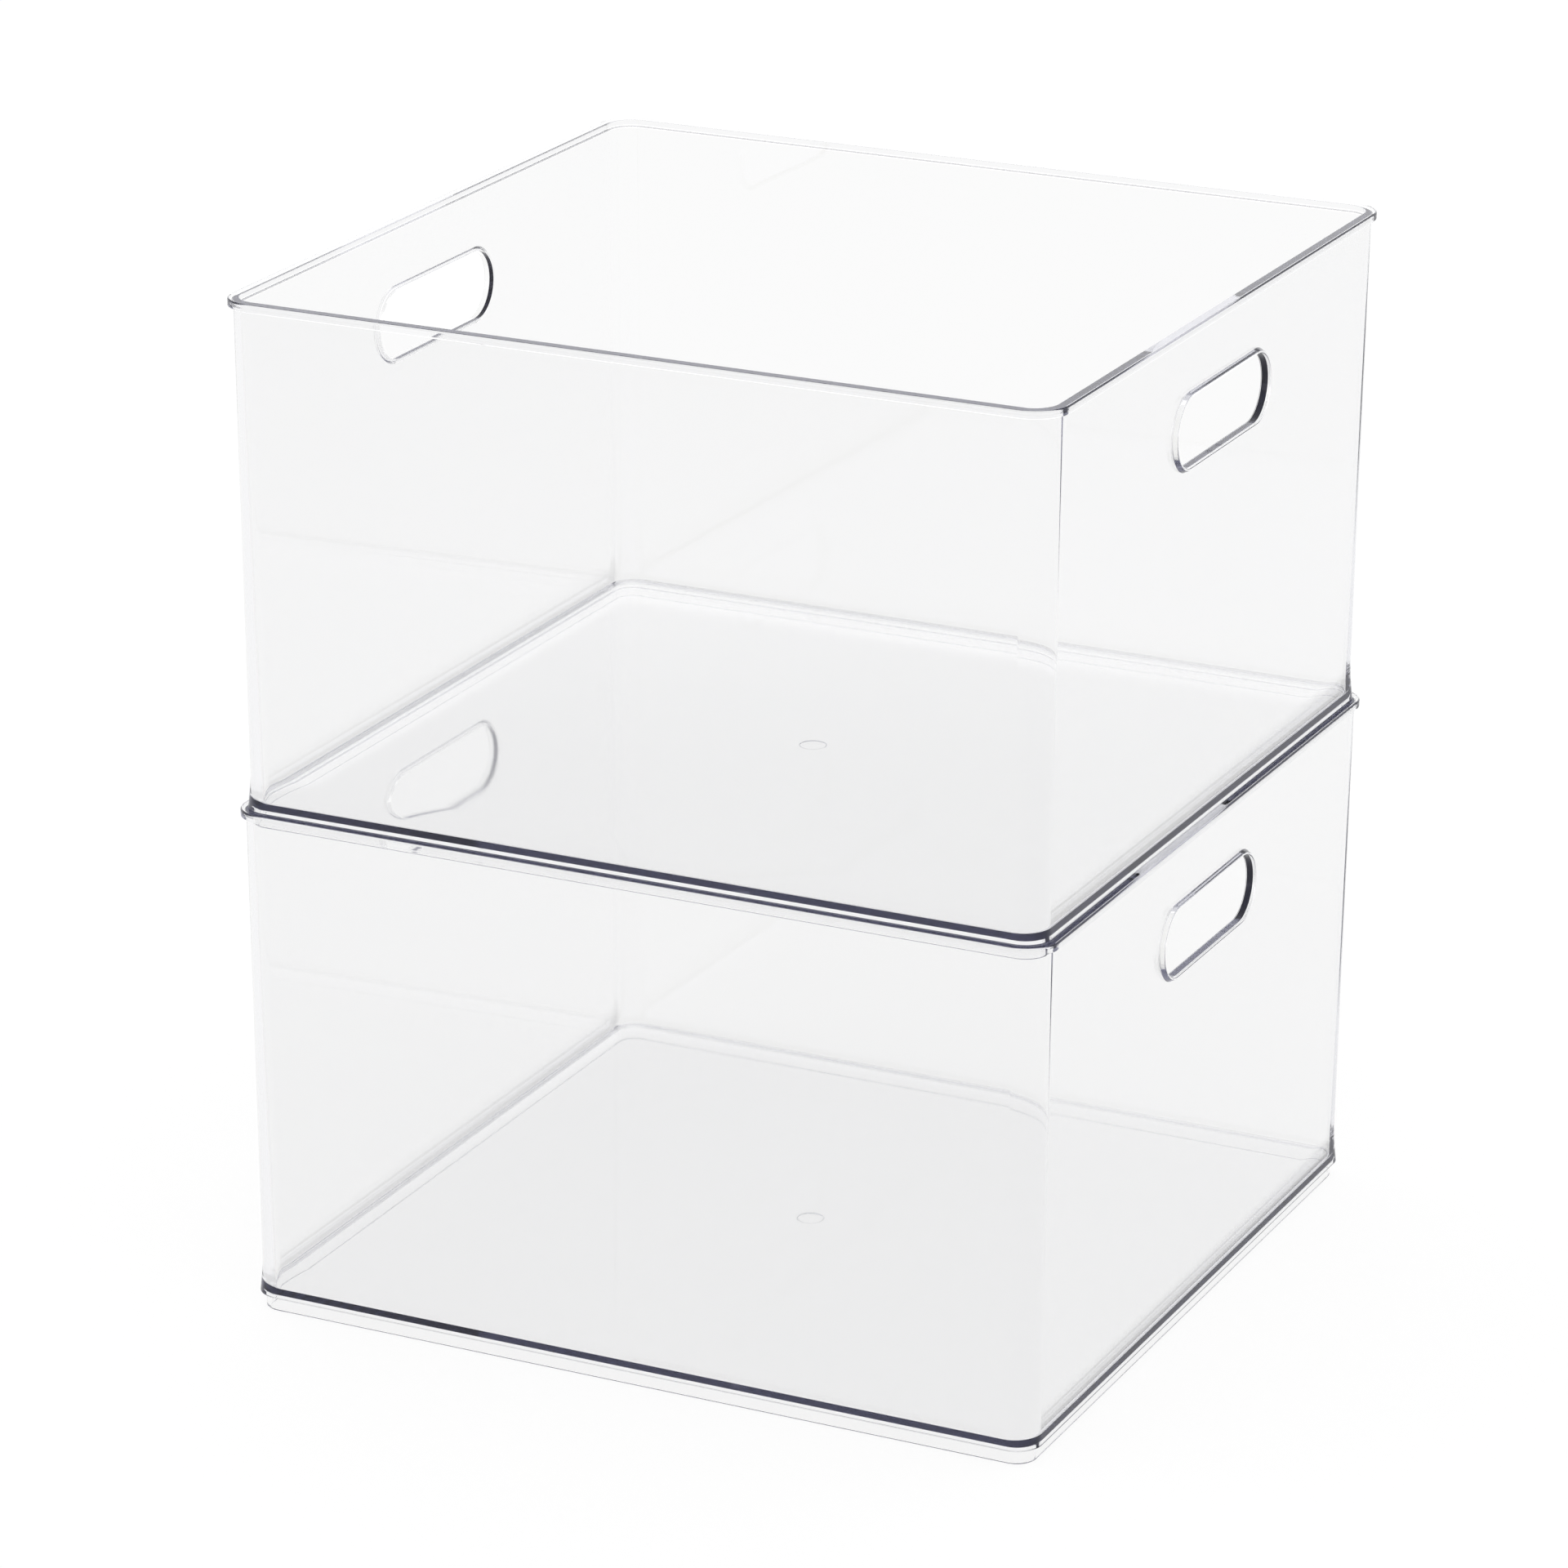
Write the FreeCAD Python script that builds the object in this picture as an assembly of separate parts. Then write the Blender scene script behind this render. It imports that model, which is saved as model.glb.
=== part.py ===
import FreeCAD, Part
import math
import os
from FreeCAD import Vector

# Two identical clear storage bins, one stacked on the other. Each bin is a
# single injection moulding: four drafted walls with rounded corners, an
# outward flange round the mouth, a floor slab raised on a stacking foot, and a
# collared grip slot in each of the two end walls.
#
# Frame: +Z up, origin on the ground plane at the middle of the lower bin.
# The grip slots are in the walls that face -X and +X. Millimetres.

# ---- driving dimensions -------------------------------------------------
RIM_WIDTH = 320.0          # outside of the flange, along X
RIM_DEPTH = 308.0          # outside of the flange, along Y
BIN_HEIGHT = 195.2         # foot to flange top, one bin
RIM_CORNER_RADIUS = 13.0   # outside of the flange
RIM_THICKNESS = 3.0        # flange, top to underside
RIM_OVERHANG = 2.0         # flange edge beyond the wall below it
WALL_THICKNESS = 2.2
WALL_DRAFT = 0.0105        # inward lean of the walls per mm of height
FLARE = 1.2                # outward kick of the wall at its bottom edge
FLARE_HEIGHT = 10.0
FOOT_HEIGHT = 5.7          # stacking foot below the ledge
FOOT_STEP = 2.1            # ledge width, wall bottom edge to foot
FOOT_THICKNESS = 2.0
FOOT_DRAFT = 0.2           # the foot is this much narrower at its tip
FLOOR_RAISE = 0.4          # underside of the floor slab above the ledge
FLOOR_THICKNESS = 2.6
SLOT_LENGTH = 86.0
SLOT_HEIGHT = 25.8
SLOT_DROP = 38.4           # flange top to the middle of the slot
COLLAR_WIDTH = 0.9         # raised band round the slot, at its top
COLLAR_SPREAD = 0.8        # the band is this much wider where it meets the wall
COLLAR_SINK = 0.8          # top of the band below the flange edge
COLLAR_PROUD = 0.25        # how far the band stands out on the wall's inner side
GATE_DIAMETER = 10.0       # moulding gate mark under the floor
GATE_DEPTH = 0.35
GATE_NUB_DIAMETER = 1.6
STACK_GAP = 0.1            # seating clearance between ledge and flange

# ---- edge radii ---------------------------------------------------------
R_RIM_TOP_OUTER = 0.7
R_RIM_TOP_INNER = 0.35
R_RIM_UNDER = 0.6
R_RIM_ROOT = 0.6
R_FLARE = 70.0
R_LEDGE_EDGE = 0.5
R_FOOT_ROOT = 0.4
R_FOOT_TIP = 0.3
R_FLOOR_FILLET = 0.8
R_SLOT_EDGE = 0.35
R_COLLAR_EDGE = 0.06

# ---- derived sizes ------------------------------------------------------
STACK_PITCH = BIN_HEIGHT - FOOT_HEIGHT + STACK_GAP
FLOOR_BOTTOM = FOOT_HEIGHT + FLOOR_RAISE
FLOOR_TOP = FLOOR_BOTTOM + FLOOR_THICKNESS
WALL_BOTTOM_INSET = RIM_OVERHANG + WALL_DRAFT * (BIN_HEIGHT - FOOT_HEIGHT)
LEDGE_INSET = WALL_BOTTOM_INSET - FLARE
FOOT_INSET = LEDGE_INSET + FOOT_STEP
SLAB_SEAM_INSET = FOOT_INSET + FOOT_THICKNESS + 2.0
SLOT_MIDDLE_Z = BIN_HEIGHT - SLOT_DROP
CUT_REACH = 12.0           # cutting tools start this far inside the flange edge
CUT_CLEARANCE = 2.0        # and run this far past the faces they cut
PLANE_TOLERANCE = 1e-4


def wall_inset(z):
    """Inset of the wall's outer face from the flange edge at height z."""
    return RIM_OVERHANG + WALL_DRAFT * (BIN_HEIGHT - z)


def section_corners():
    """The wall section as (inset, z, corner radius), anticlockwise from the mouth."""
    inner_top = wall_inset(BIN_HEIGHT) + WALL_THICKNESS
    inner_bottom = wall_inset(FLOOR_TOP) + WALL_THICKNESS
    rim_under = BIN_HEIGHT - RIM_THICKNESS
    flare_start = FOOT_HEIGHT + FLARE_HEIGHT
    foot_inner = FOOT_INSET + FOOT_THICKNESS
    return [
        (inner_top, BIN_HEIGHT, R_RIM_TOP_INNER),
        (0.0, BIN_HEIGHT, R_RIM_TOP_OUTER),
        (0.0, rim_under, R_RIM_UNDER),
        (wall_inset(rim_under), rim_under, R_RIM_ROOT),
        (wall_inset(flare_start), flare_start, R_FLARE),
        (LEDGE_INSET, FOOT_HEIGHT, R_LEDGE_EDGE),
        (FOOT_INSET, FOOT_HEIGHT, R_FOOT_ROOT),
        (FOOT_INSET + FOOT_DRAFT, 0.0, R_FOOT_TIP),
        (foot_inner - FOOT_DRAFT, 0.0, R_FOOT_TIP),
        (foot_inner, FLOOR_BOTTOM, R_FOOT_ROOT),
        (SLAB_SEAM_INSET, FLOOR_BOTTOM, 0.0),
        (SLAB_SEAM_INSET, FLOOR_TOP, 0.0),
        (inner_bottom, FLOOR_TOP, R_FLOOR_FILLET),
    ]


def rounded_wire(corners):
    """Closed wire through corner points, each rounded by its own tangent arc."""
    edges = []
    count = len(corners)
    starts = []
    ends = []
    for i in range(count):
        point, radius = corners[i]
        back = (corners[i - 1][0] - point).normalize()
        ahead = (corners[(i + 1) % count][0] - point).normalize()
        if radius == 0.0:
            starts.append(point)
            ends.append(point)
            edges.append(None)
            continue
        half_angle = 0.5 * back.getAngle(ahead)
        setback = radius / math.tan(half_angle)
        bisector = (back + ahead).normalize()
        middle = point + bisector * (radius / math.sin(half_angle) - radius)
        starts.append(point + back * setback)
        ends.append(point + ahead * setback)
        edges.append(Part.Arc(starts[i], middle, ends[i]).toShape())
    outline = []
    for i in range(count):
        if edges[i] is not None:
            outline.append(edges[i])
        outline.append(Part.makeLine(ends[i], starts[(i + 1) % count]))
    return Part.Wire(outline)


def wall_ring():
    """Walls, flange, foot and the floor's border: one section swept round the plan."""
    half_width = 0.5 * RIM_WIDTH
    corners = []
    for inset, z, radius in section_corners():
        corners.append((Vector(half_width - inset, 0.0, z), radius))
    section = rounded_wire(corners)
    path = plan_wire(0.0, 0.0)
    sweep = path.makePipeShell([section], True, False)
    return Part.Solid(Part.Shell(sweep.Faces))


def plan_wire(inset, z):
    """Rounded rectangle at a height, inset from the flange edge, starting on the +X side."""
    x = 0.5 * RIM_WIDTH - inset
    y = 0.5 * RIM_DEPTH - inset
    radius = RIM_CORNER_RADIUS - inset
    diagonal = radius * (1.0 - math.sqrt(0.5))
    start = Vector(x, 0.0, z)
    edges = []
    here = start
    for sx, sy in ((1, 1), (-1, 1), (-1, -1), (1, -1)):
        along_y = Vector(sx * x, sy * (y - radius), z)
        along_x = Vector(sx * (x - radius), sy * y, z)
        middle = Vector(sx * (x - diagonal), sy * (y - diagonal), z)
        first, last = (along_y, along_x) if sx == sy else (along_x, along_y)
        edges.append(Part.makeLine(here, first))
        edges.append(Part.Arc(first, middle, last).toShape())
        here = last
    edges.append(Part.makeLine(here, start))
    return Part.Wire(edges)


def floor_plate():
    """The middle of the floor slab, inside the swept border."""
    face = Part.Face(plan_wire(SLAB_SEAM_INSET, FLOOR_BOTTOM))
    return face.extrude(Vector(0.0, 0.0, FLOOR_THICKNESS))


def slot_wire(side, margin, distance):
    """Slot outline grown by a margin, in the plane at a distance out along the side's X."""
    radius = 0.5 * SLOT_HEIGHT + margin
    reach = 0.5 * (SLOT_LENGTH - SLOT_HEIGHT)
    x = side * distance
    top = SLOT_MIDDLE_Z + radius
    bottom = SLOT_MIDDLE_Z - radius
    edges = [
        Part.makeLine(Vector(x, -reach, top), Vector(x, reach, top)),
        Part.Arc(Vector(x, reach, top), Vector(x, reach + radius, SLOT_MIDDLE_Z),
                 Vector(x, reach, bottom)).toShape(),
        Part.makeLine(Vector(x, reach, bottom), Vector(x, -reach, bottom)),
        Part.Arc(Vector(x, -reach, bottom), Vector(x, -reach - radius, SLOT_MIDDLE_Z),
                 Vector(x, -reach, top)).toShape(),
    ]
    return Part.Wire(edges)


def slot_prism(side, margin, inner_x, outer_x):
    """Obround prism along X, grown by a margin, through the side's wall."""
    face = Part.Face(slot_wire(side, margin, inner_x))
    return face.extrude(Vector(side * (outer_x - inner_x), 0.0, 0.0))


def edges_in_plane(solid, x):
    """Edges that lie wholly in the plane at x."""
    found = []
    for edge in solid.Edges:
        box = edge.BoundBox
        if abs(box.XMin - x) < PLANE_TOLERANCE and abs(box.XMax - x) < PLANE_TOLERANCE:
            found.append(edge)
    return found


def collar(side):
    """Raised band round one slot: a narrow top, and an outer side that slopes down to the wall."""
    half_width = 0.5 * RIM_WIDTH
    wall_x = half_width - wall_inset(SLOT_MIDDLE_Z)
    top_x = half_width - COLLAR_SINK
    root_x = wall_x - 0.5 * WALL_THICKNESS
    inner_x = wall_x - WALL_THICKNESS - COLLAR_PROUD
    spread_per_mm = COLLAR_SPREAD / (top_x - wall_x)
    root_margin = COLLAR_WIDTH + spread_per_mm * (top_x - root_x)
    top_wire = slot_wire(side, COLLAR_WIDTH, top_x)
    slope = Part.makeLoft([slot_wire(side, root_margin, root_x), top_wire], True, True)
    block = slot_prism(side, COLLAR_WIDTH, inner_x, root_x).fuse(slope)
    hole = slot_prism(side, 0.0, inner_x - CUT_CLEARANCE, half_width + CUT_CLEARANCE)
    band = block.cut(hole)
    band = band.makeFillet(R_SLOT_EDGE, edges_in_plane(band, side * top_x))
    return band.makeFillet(R_COLLAR_EDGE, edges_in_plane(band, side * inner_x))


def gate_mark():
    """Shallow round recess under the floor with the cut-off stub of the gate in it."""
    base = Vector(0.0, 0.0, FLOOR_BOTTOM)
    recess = Part.makeCylinder(0.5 * GATE_DIAMETER, GATE_DEPTH, base)
    stub = Part.makeCylinder(0.5 * GATE_NUB_DIAMETER, GATE_DEPTH, base)
    return recess.cut(stub)


def make_bin():
    """One complete bin standing on the ground plane."""
    shape = wall_ring().fuse(floor_plate())
    shape = shape.cut(gate_mark())
    collar_middle = 0.5 * COLLAR_WIDTH
    outer_x = 0.5 * RIM_WIDTH
    for side in (-1, 1):
        clearing = slot_prism(side, collar_middle, outer_x - CUT_REACH, outer_x + CUT_CLEARANCE)
        shape = shape.cut(clearing)
        shape = shape.fuse(collar(side))
    shape = shape.removeSplitter()
    return shape.Solids[0]


os.makedirs("parts", exist_ok=True)

lower_bin = make_bin()
upper_bin = lower_bin.copy()
upper_bin.translate(Vector(0.0, 0.0, STACK_PITCH))

for name, solid in (("lower_bin", lower_bin), ("upper_bin", upper_bin)):
    print(name, "valid", solid.isValid(), "volume", round(solid.Volume), "box", solid.BoundBox)
    solid.exportStep("parts/" + name + ".step")
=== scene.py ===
import bpy
import math
from mathutils import Matrix, Vector
from mathutils.geometry import tessellate_polygon


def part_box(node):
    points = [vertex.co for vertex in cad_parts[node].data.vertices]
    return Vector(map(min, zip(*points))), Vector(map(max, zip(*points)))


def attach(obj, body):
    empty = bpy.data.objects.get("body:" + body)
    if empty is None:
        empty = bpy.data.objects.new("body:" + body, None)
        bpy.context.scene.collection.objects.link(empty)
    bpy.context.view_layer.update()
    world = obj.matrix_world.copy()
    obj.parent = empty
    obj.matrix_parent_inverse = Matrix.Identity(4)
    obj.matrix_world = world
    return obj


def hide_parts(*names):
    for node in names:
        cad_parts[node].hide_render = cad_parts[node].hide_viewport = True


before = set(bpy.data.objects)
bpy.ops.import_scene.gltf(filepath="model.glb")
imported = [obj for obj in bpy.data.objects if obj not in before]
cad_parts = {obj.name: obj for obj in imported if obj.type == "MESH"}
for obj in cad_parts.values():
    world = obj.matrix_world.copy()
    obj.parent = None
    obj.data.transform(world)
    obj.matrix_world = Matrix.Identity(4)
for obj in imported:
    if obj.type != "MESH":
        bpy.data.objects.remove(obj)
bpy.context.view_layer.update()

# Two identical clear injection-moulded bins, one seated on the other. Each is
# rebuilt here as one closed shell with fine, exactly tangent edge roundings,
# because clear plastic shows every facet of a coarse rounding as a bent line.
# Lengths are in metres, in the CAD frame.

MM = 0.001

# ---- sizes that the frame gives -----------------------------------------
lower_low, lower_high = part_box("lower_bin")
upper_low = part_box("upper_bin")[0]
RIM_WIDTH = lower_high.x - lower_low.x
RIM_DEPTH = lower_high.y - lower_low.y
BIN_HEIGHT = lower_high.z - lower_low.z

# ---- sizes of the moulding ----------------------------------------------
RIM_CORNER_RADIUS = 13.0 * MM
INNER_CORNER_RADIUS = 8.9 * MM     # one radius from the mouth down to the floor
RIM_THICKNESS = 3.0 * MM
RIM_OVERHANG = 2.0 * MM
WALL_THICKNESS = 2.2 * MM
WALL_DRAFT = 0.0105
FLARE = 1.2 * MM
FLARE_HEIGHT = 10.0 * MM
FOOT_HEIGHT = 5.7 * MM
FOOT_STEP = 2.1 * MM
FOOT_THICKNESS = 2.0 * MM
FOOT_DRAFT = 0.2 * MM
FLOOR_RAISE = 0.4 * MM
FLOOR_THICKNESS = 2.6 * MM
SLOT_LENGTH = 86.0 * MM
SLOT_HEIGHT = 25.8 * MM
SLOT_DROP = 38.4 * MM
COLLAR_WIDTH = 0.9 * MM
COLLAR_PROUD = 0.1 * MM    # collar height on the wall's inner side
COLLAR_SINK = 0.8 * MM     # top of the collar below the flange edge
COLLAR_SPREAD = 0.8 * MM   # extra width where the collar meets the wall
R_SLOT_OUTER = 0.35 * MM
GATE_DIAMETER = 10.0 * MM
GATE_DEPTH = 0.35 * MM
GATE_MARGIN = 1.0 * MM     # flat ring modelled round the mark

R_RIM_TOP_OUTER = 0.7 * MM
R_RIM_TOP_INNER = 0.35 * MM
R_RIM_UNDER = 0.6 * MM
R_RIM_ROOT = 0.6 * MM
R_FLARE = 70.0 * MM
R_LEDGE_EDGE = 0.5 * MM
R_FOOT_ROOT = 0.4 * MM
R_FOOT_TIP = 0.3 * MM
R_FLOOR_FILLET = 0.8 * MM
R_SLOT_EDGE = 0.35 * MM
R_COLLAR_EDGE = 0.06 * MM
R_COLLAR_ROOT = 0.3 * MM
R_GATE_EDGE = 0.12 * MM

BORDER_WIDTH = 2.0 * MM    # flat rim of the floor between the foot and the flat middle

ARC_STEPS = 8              # segments in one edge rounding
GENTLE_STEPS = 4           # segments where an edge turns by less than GENTLE_TURN
GENTLE_TURN = 0.3          # radians
COLLAR_STEPS = 6
GATE_EDGE_STEPS = 4
CORNER_STEPS = 24          # segments in one plan corner
SLOT_STEPS = 28            # segments in one end of a slot
GATE_STEPS = 48

# ---- clear plastic ------------------------------------------------------
PLASTIC_TINT = (0.971, 0.971, 0.967, 1.0)
PLASTIC_SHEEN = (0.8, 0.8, 1.0, 1.0)
PLASTIC_IOR = 1.53
DEPTH_COLOUR = (0.0, 0.01, 0.20, 1.0)
DEPTH_DENSITY = 10.0       # absorption per metre
POLISH_SCALE = 9.0         # patches of polish per metre
POLISH_BEST = 0.01         # roughness of the glossiest patches
POLISH_WORST = 0.04
FLOW_SCALE = 14.0          # moulding waves per metre
FLOW_HEIGHT = 0.02 * MM

# ---- studio -------------------------------------------------------------
FLOOR_HALF_SIZE = 8.0
FLOOR_DROP = 0.2 * MM      # floor below the lower foot
FLOOR_GREY = 0.12
FLOOR_GLOW = 0.90
HORIZON_LIGHT = 1.4
OVERHEAD_LIGHT = 0.95
HORIZON_TOP = 0.27         # sine of the height where the bright horizon starts to fade
OVERHEAD_START = 0.34      # and where it has faded
LIGHT_BOUNCES = 160        # light runs far along the walls inside the clear plastic

FLOOR_BOTTOM = FOOT_HEIGHT + FLOOR_RAISE
FLOOR_TOP = FLOOR_BOTTOM + FLOOR_THICKNESS
LEDGE_INSET = RIM_OVERHANG + WALL_DRAFT * (BIN_HEIGHT - FOOT_HEIGHT) - FLARE
FOOT_INSET = LEDGE_INSET + FOOT_STEP
SLOT_MIDDLE_Z = BIN_HEIGHT - SLOT_DROP


def wall_inset(z):
    """Inset of the wall's outer face from the flange edge at height z."""
    return RIM_OVERHANG + WALL_DRAFT * (BIN_HEIGHT - z)


# ---- rounded sections ---------------------------------------------------
def rounded_section(corners, first, last, steps=ARC_STEPS):
    """Points and normals along an open section whose corners are rounded by tangent arcs.

    corners are (point, radius), where a point is a 2-D Vector. first and last are its
    plain ends. The normal is the left-hand side of the direction of travel.
    """
    points = [first] + [corner[0] for corner in corners] + [last]
    out = []
    for i, (point, radius) in enumerate(corners, start=1):
        back = (points[i - 1] - point).normalized()
        ahead = (points[i + 1] - point).normalized()
        half = 0.5 * back.angle(ahead)
        setback = radius / math.tan(half)
        centre = point + (back + ahead).normalized() * (radius / math.sin(half))
        start = point + back * setback
        turn = math.pi - 2.0 * half
        travel = -back
        side = 1.0 if travel.x * ahead.y - travel.y * ahead.x > 0.0 else -1.0
        spoke = start - centre
        count = steps if turn > GENTLE_TURN else GENTLE_STEPS
        for k in range(count + 1):
            angle = side * turn * k / count
            c = math.cos(angle)
            s = math.sin(angle)
            arm = Vector((c * spoke.x - s * spoke.y, s * spoke.x + c * spoke.y))
            normal = arm.normalized() * -side
            out.append((centre + arm, normal))
    first_normal = out[0][1]
    last_normal = out[-1][1]
    return [(first, first_normal)] + out + [(last, last_normal)]


class Shell:
    """Vertices with exact normals, and faces, collected for one closed mesh."""

    def __init__(self):
        self.points = []
        self.normals = []
        self.faces = []

    def add(self, point, normal):
        self.points.append(Vector(point))
        self.normals.append(Vector(normal).normalized())
        return len(self.points) - 1

    def skin(self, loop_a, loop_b):
        """Quads between two closed loops of equal length."""
        count = len(loop_a)
        for i in range(count):
            j = (i + 1) % count
            self.faces.append((loop_a[i], loop_a[j], loop_b[j], loop_b[i]))

    def holed_flat(self, outer, inner):
        """Triangles that fill one flat region between an outline and the hole in it."""
        loops = [[self.points[i] for i in loop] for loop in (outer, inner)]
        indices = list(outer) + list(inner)
        for triangle in tessellate_polygon(loops):
            self.faces.append(tuple(indices[k] for k in triangle))

    def to_object(self, name, lift):
        mesh = bpy.data.meshes.new(name)
        points = [(p.x, p.y, p.z + lift) for p in self.points]
        faces = []
        for face in self.faces:
            a, b, c = (self.points[i] for i in face[:3])
            flat = (b - a).cross(c - a)
            if flat.length < 1e-16 and len(face) == 4:
                flat = (c - a).cross(self.points[face[3]] - a)
            wanted = Vector((0.0, 0.0, 0.0))
            for i in face:
                wanted += self.normals[i]
            faces.append(face if flat.dot(wanted) > 0.0 else tuple(reversed(face)))
        mesh.from_pydata(points, [], faces)
        mesh.update()
        for polygon in mesh.polygons:
            polygon.use_smooth = True
        mesh.normals_split_custom_set_from_vertices([tuple(n) for n in self.normals])
        obj = bpy.data.objects.new(name, mesh)
        bpy.context.scene.collection.objects.link(obj)
        return obj


# ---- the plan of a bin --------------------------------------------------
def corner_radius(inset, z, inside):
    """Plan corner radius: outer faces share their centres, inner faces keep one radius."""
    if inside:
        return INNER_CORNER_RADIUS + wall_inset(z) + WALL_THICKNESS - inset
    return RIM_CORNER_RADIUS - inset


def plan_loop(inset, radius):
    """Places and directions round the rounded rectangle at an inset from the flange edge."""
    x = 0.5 * RIM_WIDTH - inset - radius
    y = 0.5 * RIM_DEPTH - inset - radius
    places = []
    for quarter, (sx, sy) in enumerate(((1, 1), (-1, 1), (-1, -1), (1, -1))):
        for k in range(CORNER_STEPS + 1):
            angle = 0.5 * math.pi * (quarter + k / CORNER_STEPS)
            arm = Vector((math.cos(angle), math.sin(angle), 0.0))
            places.append((Vector((sx * x, sy * y, 0.0)) + radius * arm, arm))
    return places


def sweep_loop(shell, inset, z, normal, inside):
    """One loop of vertices round the plan; the section normal is (towards inset, up)."""
    loop = []
    for place, arm in plan_loop(inset, corner_radius(inset, z, inside)):
        point = Vector((place.x, place.y, z))
        loop.append(shell.add(point, arm * -normal.x + Vector((0.0, 0.0, normal.y))))
    return loop


def section():
    """The wall section from the floor's underside, over the rim, to the floor's top."""
    inner_bottom = wall_inset(FLOOR_TOP) + WALL_THICKNESS
    inner_top = wall_inset(BIN_HEIGHT) + WALL_THICKNESS
    rim_under = BIN_HEIGHT - RIM_THICKNESS
    flare_start = FOOT_HEIGHT + FLARE_HEIGHT
    foot_inner = FOOT_INSET + FOOT_THICKNESS
    border = foot_inner + BORDER_WIDTH
    corners = [
        (Vector((foot_inner, FLOOR_BOTTOM)), R_FOOT_ROOT),
        (Vector((foot_inner - FOOT_DRAFT, 0.0)), R_FOOT_TIP),
        (Vector((FOOT_INSET + FOOT_DRAFT, 0.0)), R_FOOT_TIP),
        (Vector((FOOT_INSET, FOOT_HEIGHT)), R_FOOT_ROOT),
        (Vector((LEDGE_INSET, FOOT_HEIGHT)), R_LEDGE_EDGE),
        (Vector((wall_inset(flare_start), flare_start)), R_FLARE),
        (Vector((wall_inset(rim_under), rim_under)), R_RIM_ROOT),
        (Vector((0.0, rim_under)), R_RIM_UNDER),
        (Vector((0.0, BIN_HEIGHT)), R_RIM_TOP_OUTER),
        (Vector((inner_top, BIN_HEIGHT)), R_RIM_TOP_INNER),
        (Vector((inner_bottom, FLOOR_TOP)), R_FLOOR_FILLET),
    ]
    return rounded_section(corners, Vector((border, FLOOR_BOTTOM)), Vector((border, FLOOR_TOP)))


# ---- the grip slots -----------------------------------------------------
def slot_loop(margin):
    """Places (y, z) and outward directions round the slot's outline, grown by a margin."""
    radius = 0.5 * SLOT_HEIGHT
    reach = 0.5 * SLOT_LENGTH - radius
    places = []
    for end, start in ((1.0, -0.5 * math.pi), (-1.0, 0.5 * math.pi)):
        for k in range(SLOT_STEPS + 1):
            angle = start + math.pi * k / SLOT_STEPS
            arm = Vector((math.cos(angle), math.sin(angle)))
            centre = Vector((end * reach, SLOT_MIDDLE_Z))
            places.append((centre + arm * (radius + margin), arm))
    return places


def collar_section(side_in, side_out):
    """Collar section in (margin, depth below the flange edge), from outer wall to inner wall."""
    proud = side_in + COLLAR_PROUD
    corners = [
        (Vector((COLLAR_WIDTH + COLLAR_SPREAD, side_out)), R_COLLAR_ROOT),
        (Vector((COLLAR_WIDTH, COLLAR_SINK)), R_SLOT_OUTER),
        (Vector((0.0, COLLAR_SINK)), R_SLOT_EDGE),
        (Vector((0.0, proud)), R_COLLAR_EDGE),
        (Vector((COLLAR_WIDTH, proud)), R_COLLAR_EDGE * 0.5),
        (Vector((COLLAR_WIDTH, side_in)), R_COLLAR_ROOT * 0.5),
    ]
    far = COLLAR_WIDTH + COLLAR_SPREAD + 2.0 * R_COLLAR_ROOT
    return rounded_section(corners, Vector((far, side_out)), Vector((far, side_in)), COLLAR_STEPS)


def add_collar(shell, side):
    """Skins one slot's collar and returns its loops in the outer and inner wall faces."""
    middle_out = wall_inset(SLOT_MIDDLE_Z)
    middle_in = middle_out + WALL_THICKNESS
    loops = []
    for place, normal in collar_section(middle_in, middle_out):
        loop = []
        for (spot, arm) in slot_loop(place.x):
            lean = WALL_DRAFT * (SLOT_MIDDLE_Z - spot.y)
            share = min(max(place.y / middle_out, 0.0), 1.0)
            depth = place.y + lean * share
            point = Vector((side * (0.5 * RIM_WIDTH - depth), spot.x, spot.y))
            across = Vector((0.0, arm.x, arm.y)) * normal.x
            along = Vector((side, 0.0, -WALL_DRAFT * share)) * -normal.y
            loop.append(shell.add(point, across + along))
        loops.append(loop)
    for near, far in zip(loops, loops[1:]):
        shell.skin(near, far)
    return loops[0], loops[-1]


def build_bin(name, lift):
    """One complete bin as a single closed shell."""
    shell = Shell()
    places = section()
    loops = []
    mouth_inset = wall_inset(BIN_HEIGHT) + WALL_THICKNESS
    inside = False
    for place, normal in places:
        on_rim = place.y > BIN_HEIGHT - 0.5 * RIM_THICKNESS
        inside = inside or (on_rim and place.x > 0.5 * mouth_inset)
        loops.append(sweep_loop(shell, place.x, place.y, normal, inside))
    per_corner = CORNER_STEPS + 1
    outer_collars = {}
    inner_collars = {}
    for side in (-1, 1):
        outer_collars[side], inner_collars[side] = add_collar(shell, side)
    for index in range(len(loops) - 1):
        low = loops[index]
        high = loops[index + 1]
        z_low = places[index][0].y
        z_high = places[index + 1][0].y
        holed = min(z_low, z_high) < SLOT_MIDDLE_Z < max(z_low, z_high)
        count = len(low)
        for i in range(count):
            j = (i + 1) % count
            on_side = holed and i % per_corner == CORNER_STEPS and i // per_corner in (1, 3)
            if not on_side:
                shell.faces.append((low[i], low[j], high[j], high[i]))
                continue
            side = -1 if i // per_corner == 1 else 1
            rising = z_high > z_low
            collar = outer_collars[side] if rising else inner_collars[side]
            shell.holed_flat([low[i], low[j], high[j], high[i]], collar)
    shell.faces.append(tuple(loops[-1]))
    add_underside(shell, loops[0])
    return shell.to_object(name, lift)


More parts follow.
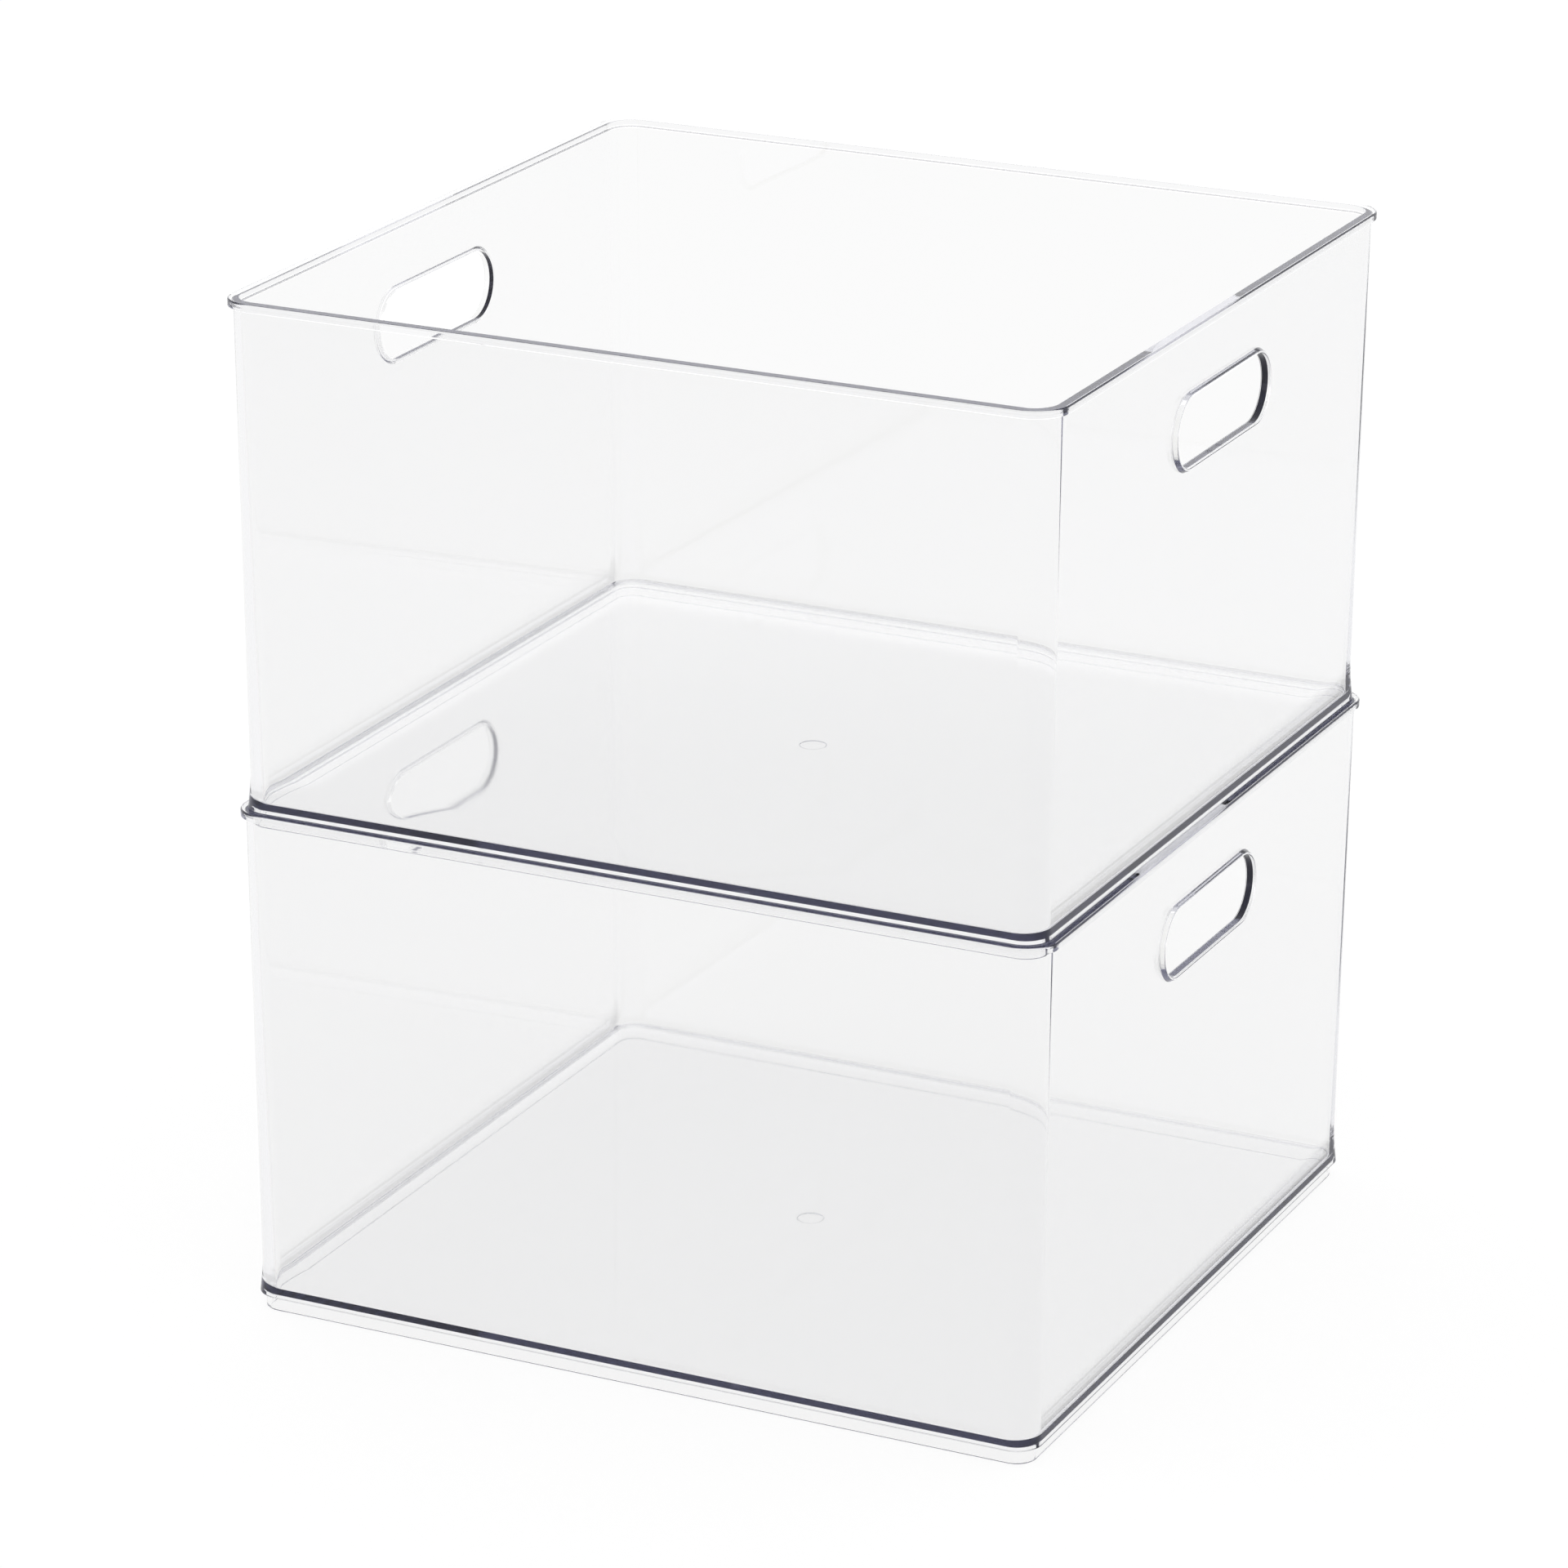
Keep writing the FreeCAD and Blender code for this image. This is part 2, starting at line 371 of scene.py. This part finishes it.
def add_underside(shell, border):
    """The floor's underside with the round moulding gate mark in its middle."""
    radius = 0.5 * GATE_DIAMETER
    deep = FLOOR_BOTTOM + GATE_DEPTH
    corners = [
        (Vector((radius, FLOOR_BOTTOM)), R_GATE_EDGE),
        (Vector((radius, deep)), R_GATE_EDGE),
    ]
    outside = Vector((radius + GATE_MARGIN, FLOOR_BOTTOM))
    middle = Vector((0.5 * radius, deep))
    places = rounded_section(corners, outside, middle, GATE_EDGE_STEPS)
    loops = []
    for place, normal in places:
        loop = []
        for k in range(GATE_STEPS):
            angle = 2.0 * math.pi * k / GATE_STEPS
            arm = Vector((math.cos(angle), math.sin(angle), 0.0))
            point = arm * place.x + Vector((0.0, 0.0, place.y))
            loop.append(shell.add(point, arm * normal.x + Vector((0.0, 0.0, normal.y))))
        loops.append(loop)
    for near, far in zip(loops, loops[1:]):
        shell.skin(near, far)
    shell.faces.append(tuple(loops[-1]))
    shell.holed_flat(border, loops[0])


# ---- clear plastic ------------------------------------------------------
def clear_plastic():
    """Polished clear plastic: refraction, a faint cool tint with depth, faint moulding flow."""
    material = bpy.data.materials.new("clear_plastic_looks")
    material.use_nodes = True
    nodes = material.node_tree.nodes
    links = material.node_tree.links
    shader = nodes["Principled BSDF"]
    shader.inputs["Base Color"].default_value = PLASTIC_TINT
    shader.inputs["Specular Tint"].default_value = PLASTIC_SHEEN
    shader.inputs["Transmission Weight"].default_value = 1.0
    shader.inputs["IOR"].default_value = PLASTIC_IOR

    coordinates = nodes.new("ShaderNodeTexCoord")
    polish = nodes.new("ShaderNodeTexNoise")
    polish.inputs["Scale"].default_value = POLISH_SCALE
    polish.inputs["Detail"].default_value = 3.0
    polish_range = nodes.new("ShaderNodeMapRange")
    polish_range.inputs["From Min"].default_value = 0.3
    polish_range.inputs["From Max"].default_value = 0.7
    polish_range.inputs["To Min"].default_value = POLISH_BEST
    polish_range.inputs["To Max"].default_value = POLISH_WORST
    links.new(coordinates.outputs["Object"], polish.inputs["Vector"])
    links.new(polish.outputs["Fac"], polish_range.inputs["Value"])
    links.new(polish_range.outputs["Result"], shader.inputs["Roughness"])

    flow = nodes.new("ShaderNodeTexNoise")
    flow.inputs["Scale"].default_value = FLOW_SCALE
    flow.inputs["Detail"].default_value = 1.0
    ripple = nodes.new("ShaderNodeBump")
    ripple.inputs["Strength"].default_value = 1.0
    ripple.inputs["Distance"].default_value = FLOW_HEIGHT
    links.new(coordinates.outputs["Object"], flow.inputs["Vector"])
    links.new(flow.outputs["Fac"], ripple.inputs["Height"])
    links.new(ripple.outputs["Normal"], shader.inputs["Normal"])
    absorb = nodes.new("ShaderNodeVolumeAbsorption")
    absorb.inputs["Color"].default_value = DEPTH_COLOUR
    absorb.inputs["Density"].default_value = DEPTH_DENSITY
    links.new(absorb.outputs["Volume"], nodes["Material Output"].inputs["Volume"])
    return material


# ---- studio -------------------------------------------------------------
def pale_floor():
    """Large plain floor, not part of the object."""
    half = FLOOR_HALF_SIZE
    mesh = bpy.data.meshes.new("studio_floor")
    drop = lower_low.z - FLOOR_DROP
    corners = [(-half, -half, drop), (half, -half, drop), (half, half, drop), (-half, half, drop)]
    mesh.from_pydata(corners, [], [(0, 1, 2, 3)])
    floor = bpy.data.objects.new("studio_floor", mesh)
    bpy.context.scene.collection.objects.link(floor)
    material = bpy.data.materials.new("studio_floor")
    material.use_nodes = True
    shader = material.node_tree.nodes["Principled BSDF"]
    shader.inputs["Base Color"].default_value = (FLOOR_GREY, FLOOR_GREY, FLOOR_GREY, 1.0)
    shader.inputs["Emission Color"].default_value = (1.0, 1.0, 1.0, 1.0)
    shader.inputs["Emission Strength"].default_value = FLOOR_GLOW
    shader.inputs["Roughness"].default_value = 1.0
    shader.inputs["Specular IOR Level"].default_value = 0.0
    mesh.materials.append(material)
    return floor


def studio_world():
    """White studio surroundings: brighter near the horizon, softer overhead."""
    world = bpy.data.worlds.new("studio")
    bpy.context.scene.world = world
    world.use_nodes = True
    nodes = world.node_tree.nodes
    links = world.node_tree.links
    direction = nodes.new("ShaderNodeTexCoord")
    height = nodes.new("ShaderNodeSeparateXYZ")
    ramp = nodes.new("ShaderNodeMapRange")
    ramp.interpolation_type = "SMOOTHSTEP"
    ramp.inputs["From Min"].default_value = HORIZON_TOP
    ramp.inputs["From Max"].default_value = OVERHEAD_START
    ramp.inputs["To Min"].default_value = HORIZON_LIGHT
    ramp.inputs["To Max"].default_value = OVERHEAD_LIGHT
    links.new(direction.outputs["Generated"], height.inputs["Vector"])
    links.new(height.outputs["Z"], ramp.inputs["Value"])
    links.new(ramp.outputs["Result"], nodes["Background"].inputs["Strength"])
    nodes["Background"].inputs["Color"].default_value = (1.0, 1.0, 1.0, 1.0)


def photo_camera():
    """Camera at the reference viewing angle: slightly above, towards the front and right walls."""
    azimuth = math.radians(25.69)
    elevation = math.radians(19.53)
    roll = math.radians(0.23)
    distance = 2.3745
    target = Vector((-9.96, -4.79, 182.0)) * MM
    back = Vector((math.sin(azimuth) * math.cos(elevation),
                   -math.cos(azimuth) * math.cos(elevation),
                   math.sin(elevation)))
    level = Vector((math.cos(azimuth), math.sin(azimuth), 0.0))
    rise = back.cross(level)
    right = math.cos(roll) * level + math.sin(roll) * rise
    up = back.cross(right)
    data = bpy.data.cameras.new("camera")
    data.sensor_width = 36.0
    data.lens = 147.42
    data.clip_end = 100.0
    camera = bpy.data.objects.new("camera", data)
    place = target + back * distance
    camera.matrix_world = Matrix((
        (right.x, up.x, back.x, place.x),
        (right.y, up.y, back.y, place.y),
        (right.z, up.z, back.z, place.z),
        (0.0, 0.0, 0.0, 1.0),
    ))
    bpy.context.scene.collection.objects.link(camera)
    bpy.context.scene.camera = camera


scene = bpy.context.scene
scene.view_settings.view_transform = "Standard"
scene.view_settings.look = "None"
scene.cycles.max_bounces = LIGHT_BOUNCES
scene.cycles.transmission_bounces = LIGHT_BOUNCES
scene.cycles.glossy_bounces = LIGHT_BOUNCES
scene.cycles.diffuse_bounces = 4
scene.cycles.sample_clamp_indirect = 6.0

plastic = clear_plastic()
bins = (
    ("lower_bin", "lower_body", lower_low.z),
    ("upper_bin", "upper_body", upper_low.z),
)
for node_name, body, lift in bins:
    shell = build_bin(node_name + "_shell", lift)
    shell.data.materials.append(plastic)
    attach(shell, body)
    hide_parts(node_name)

pale_floor()
studio_world()
photo_camera()
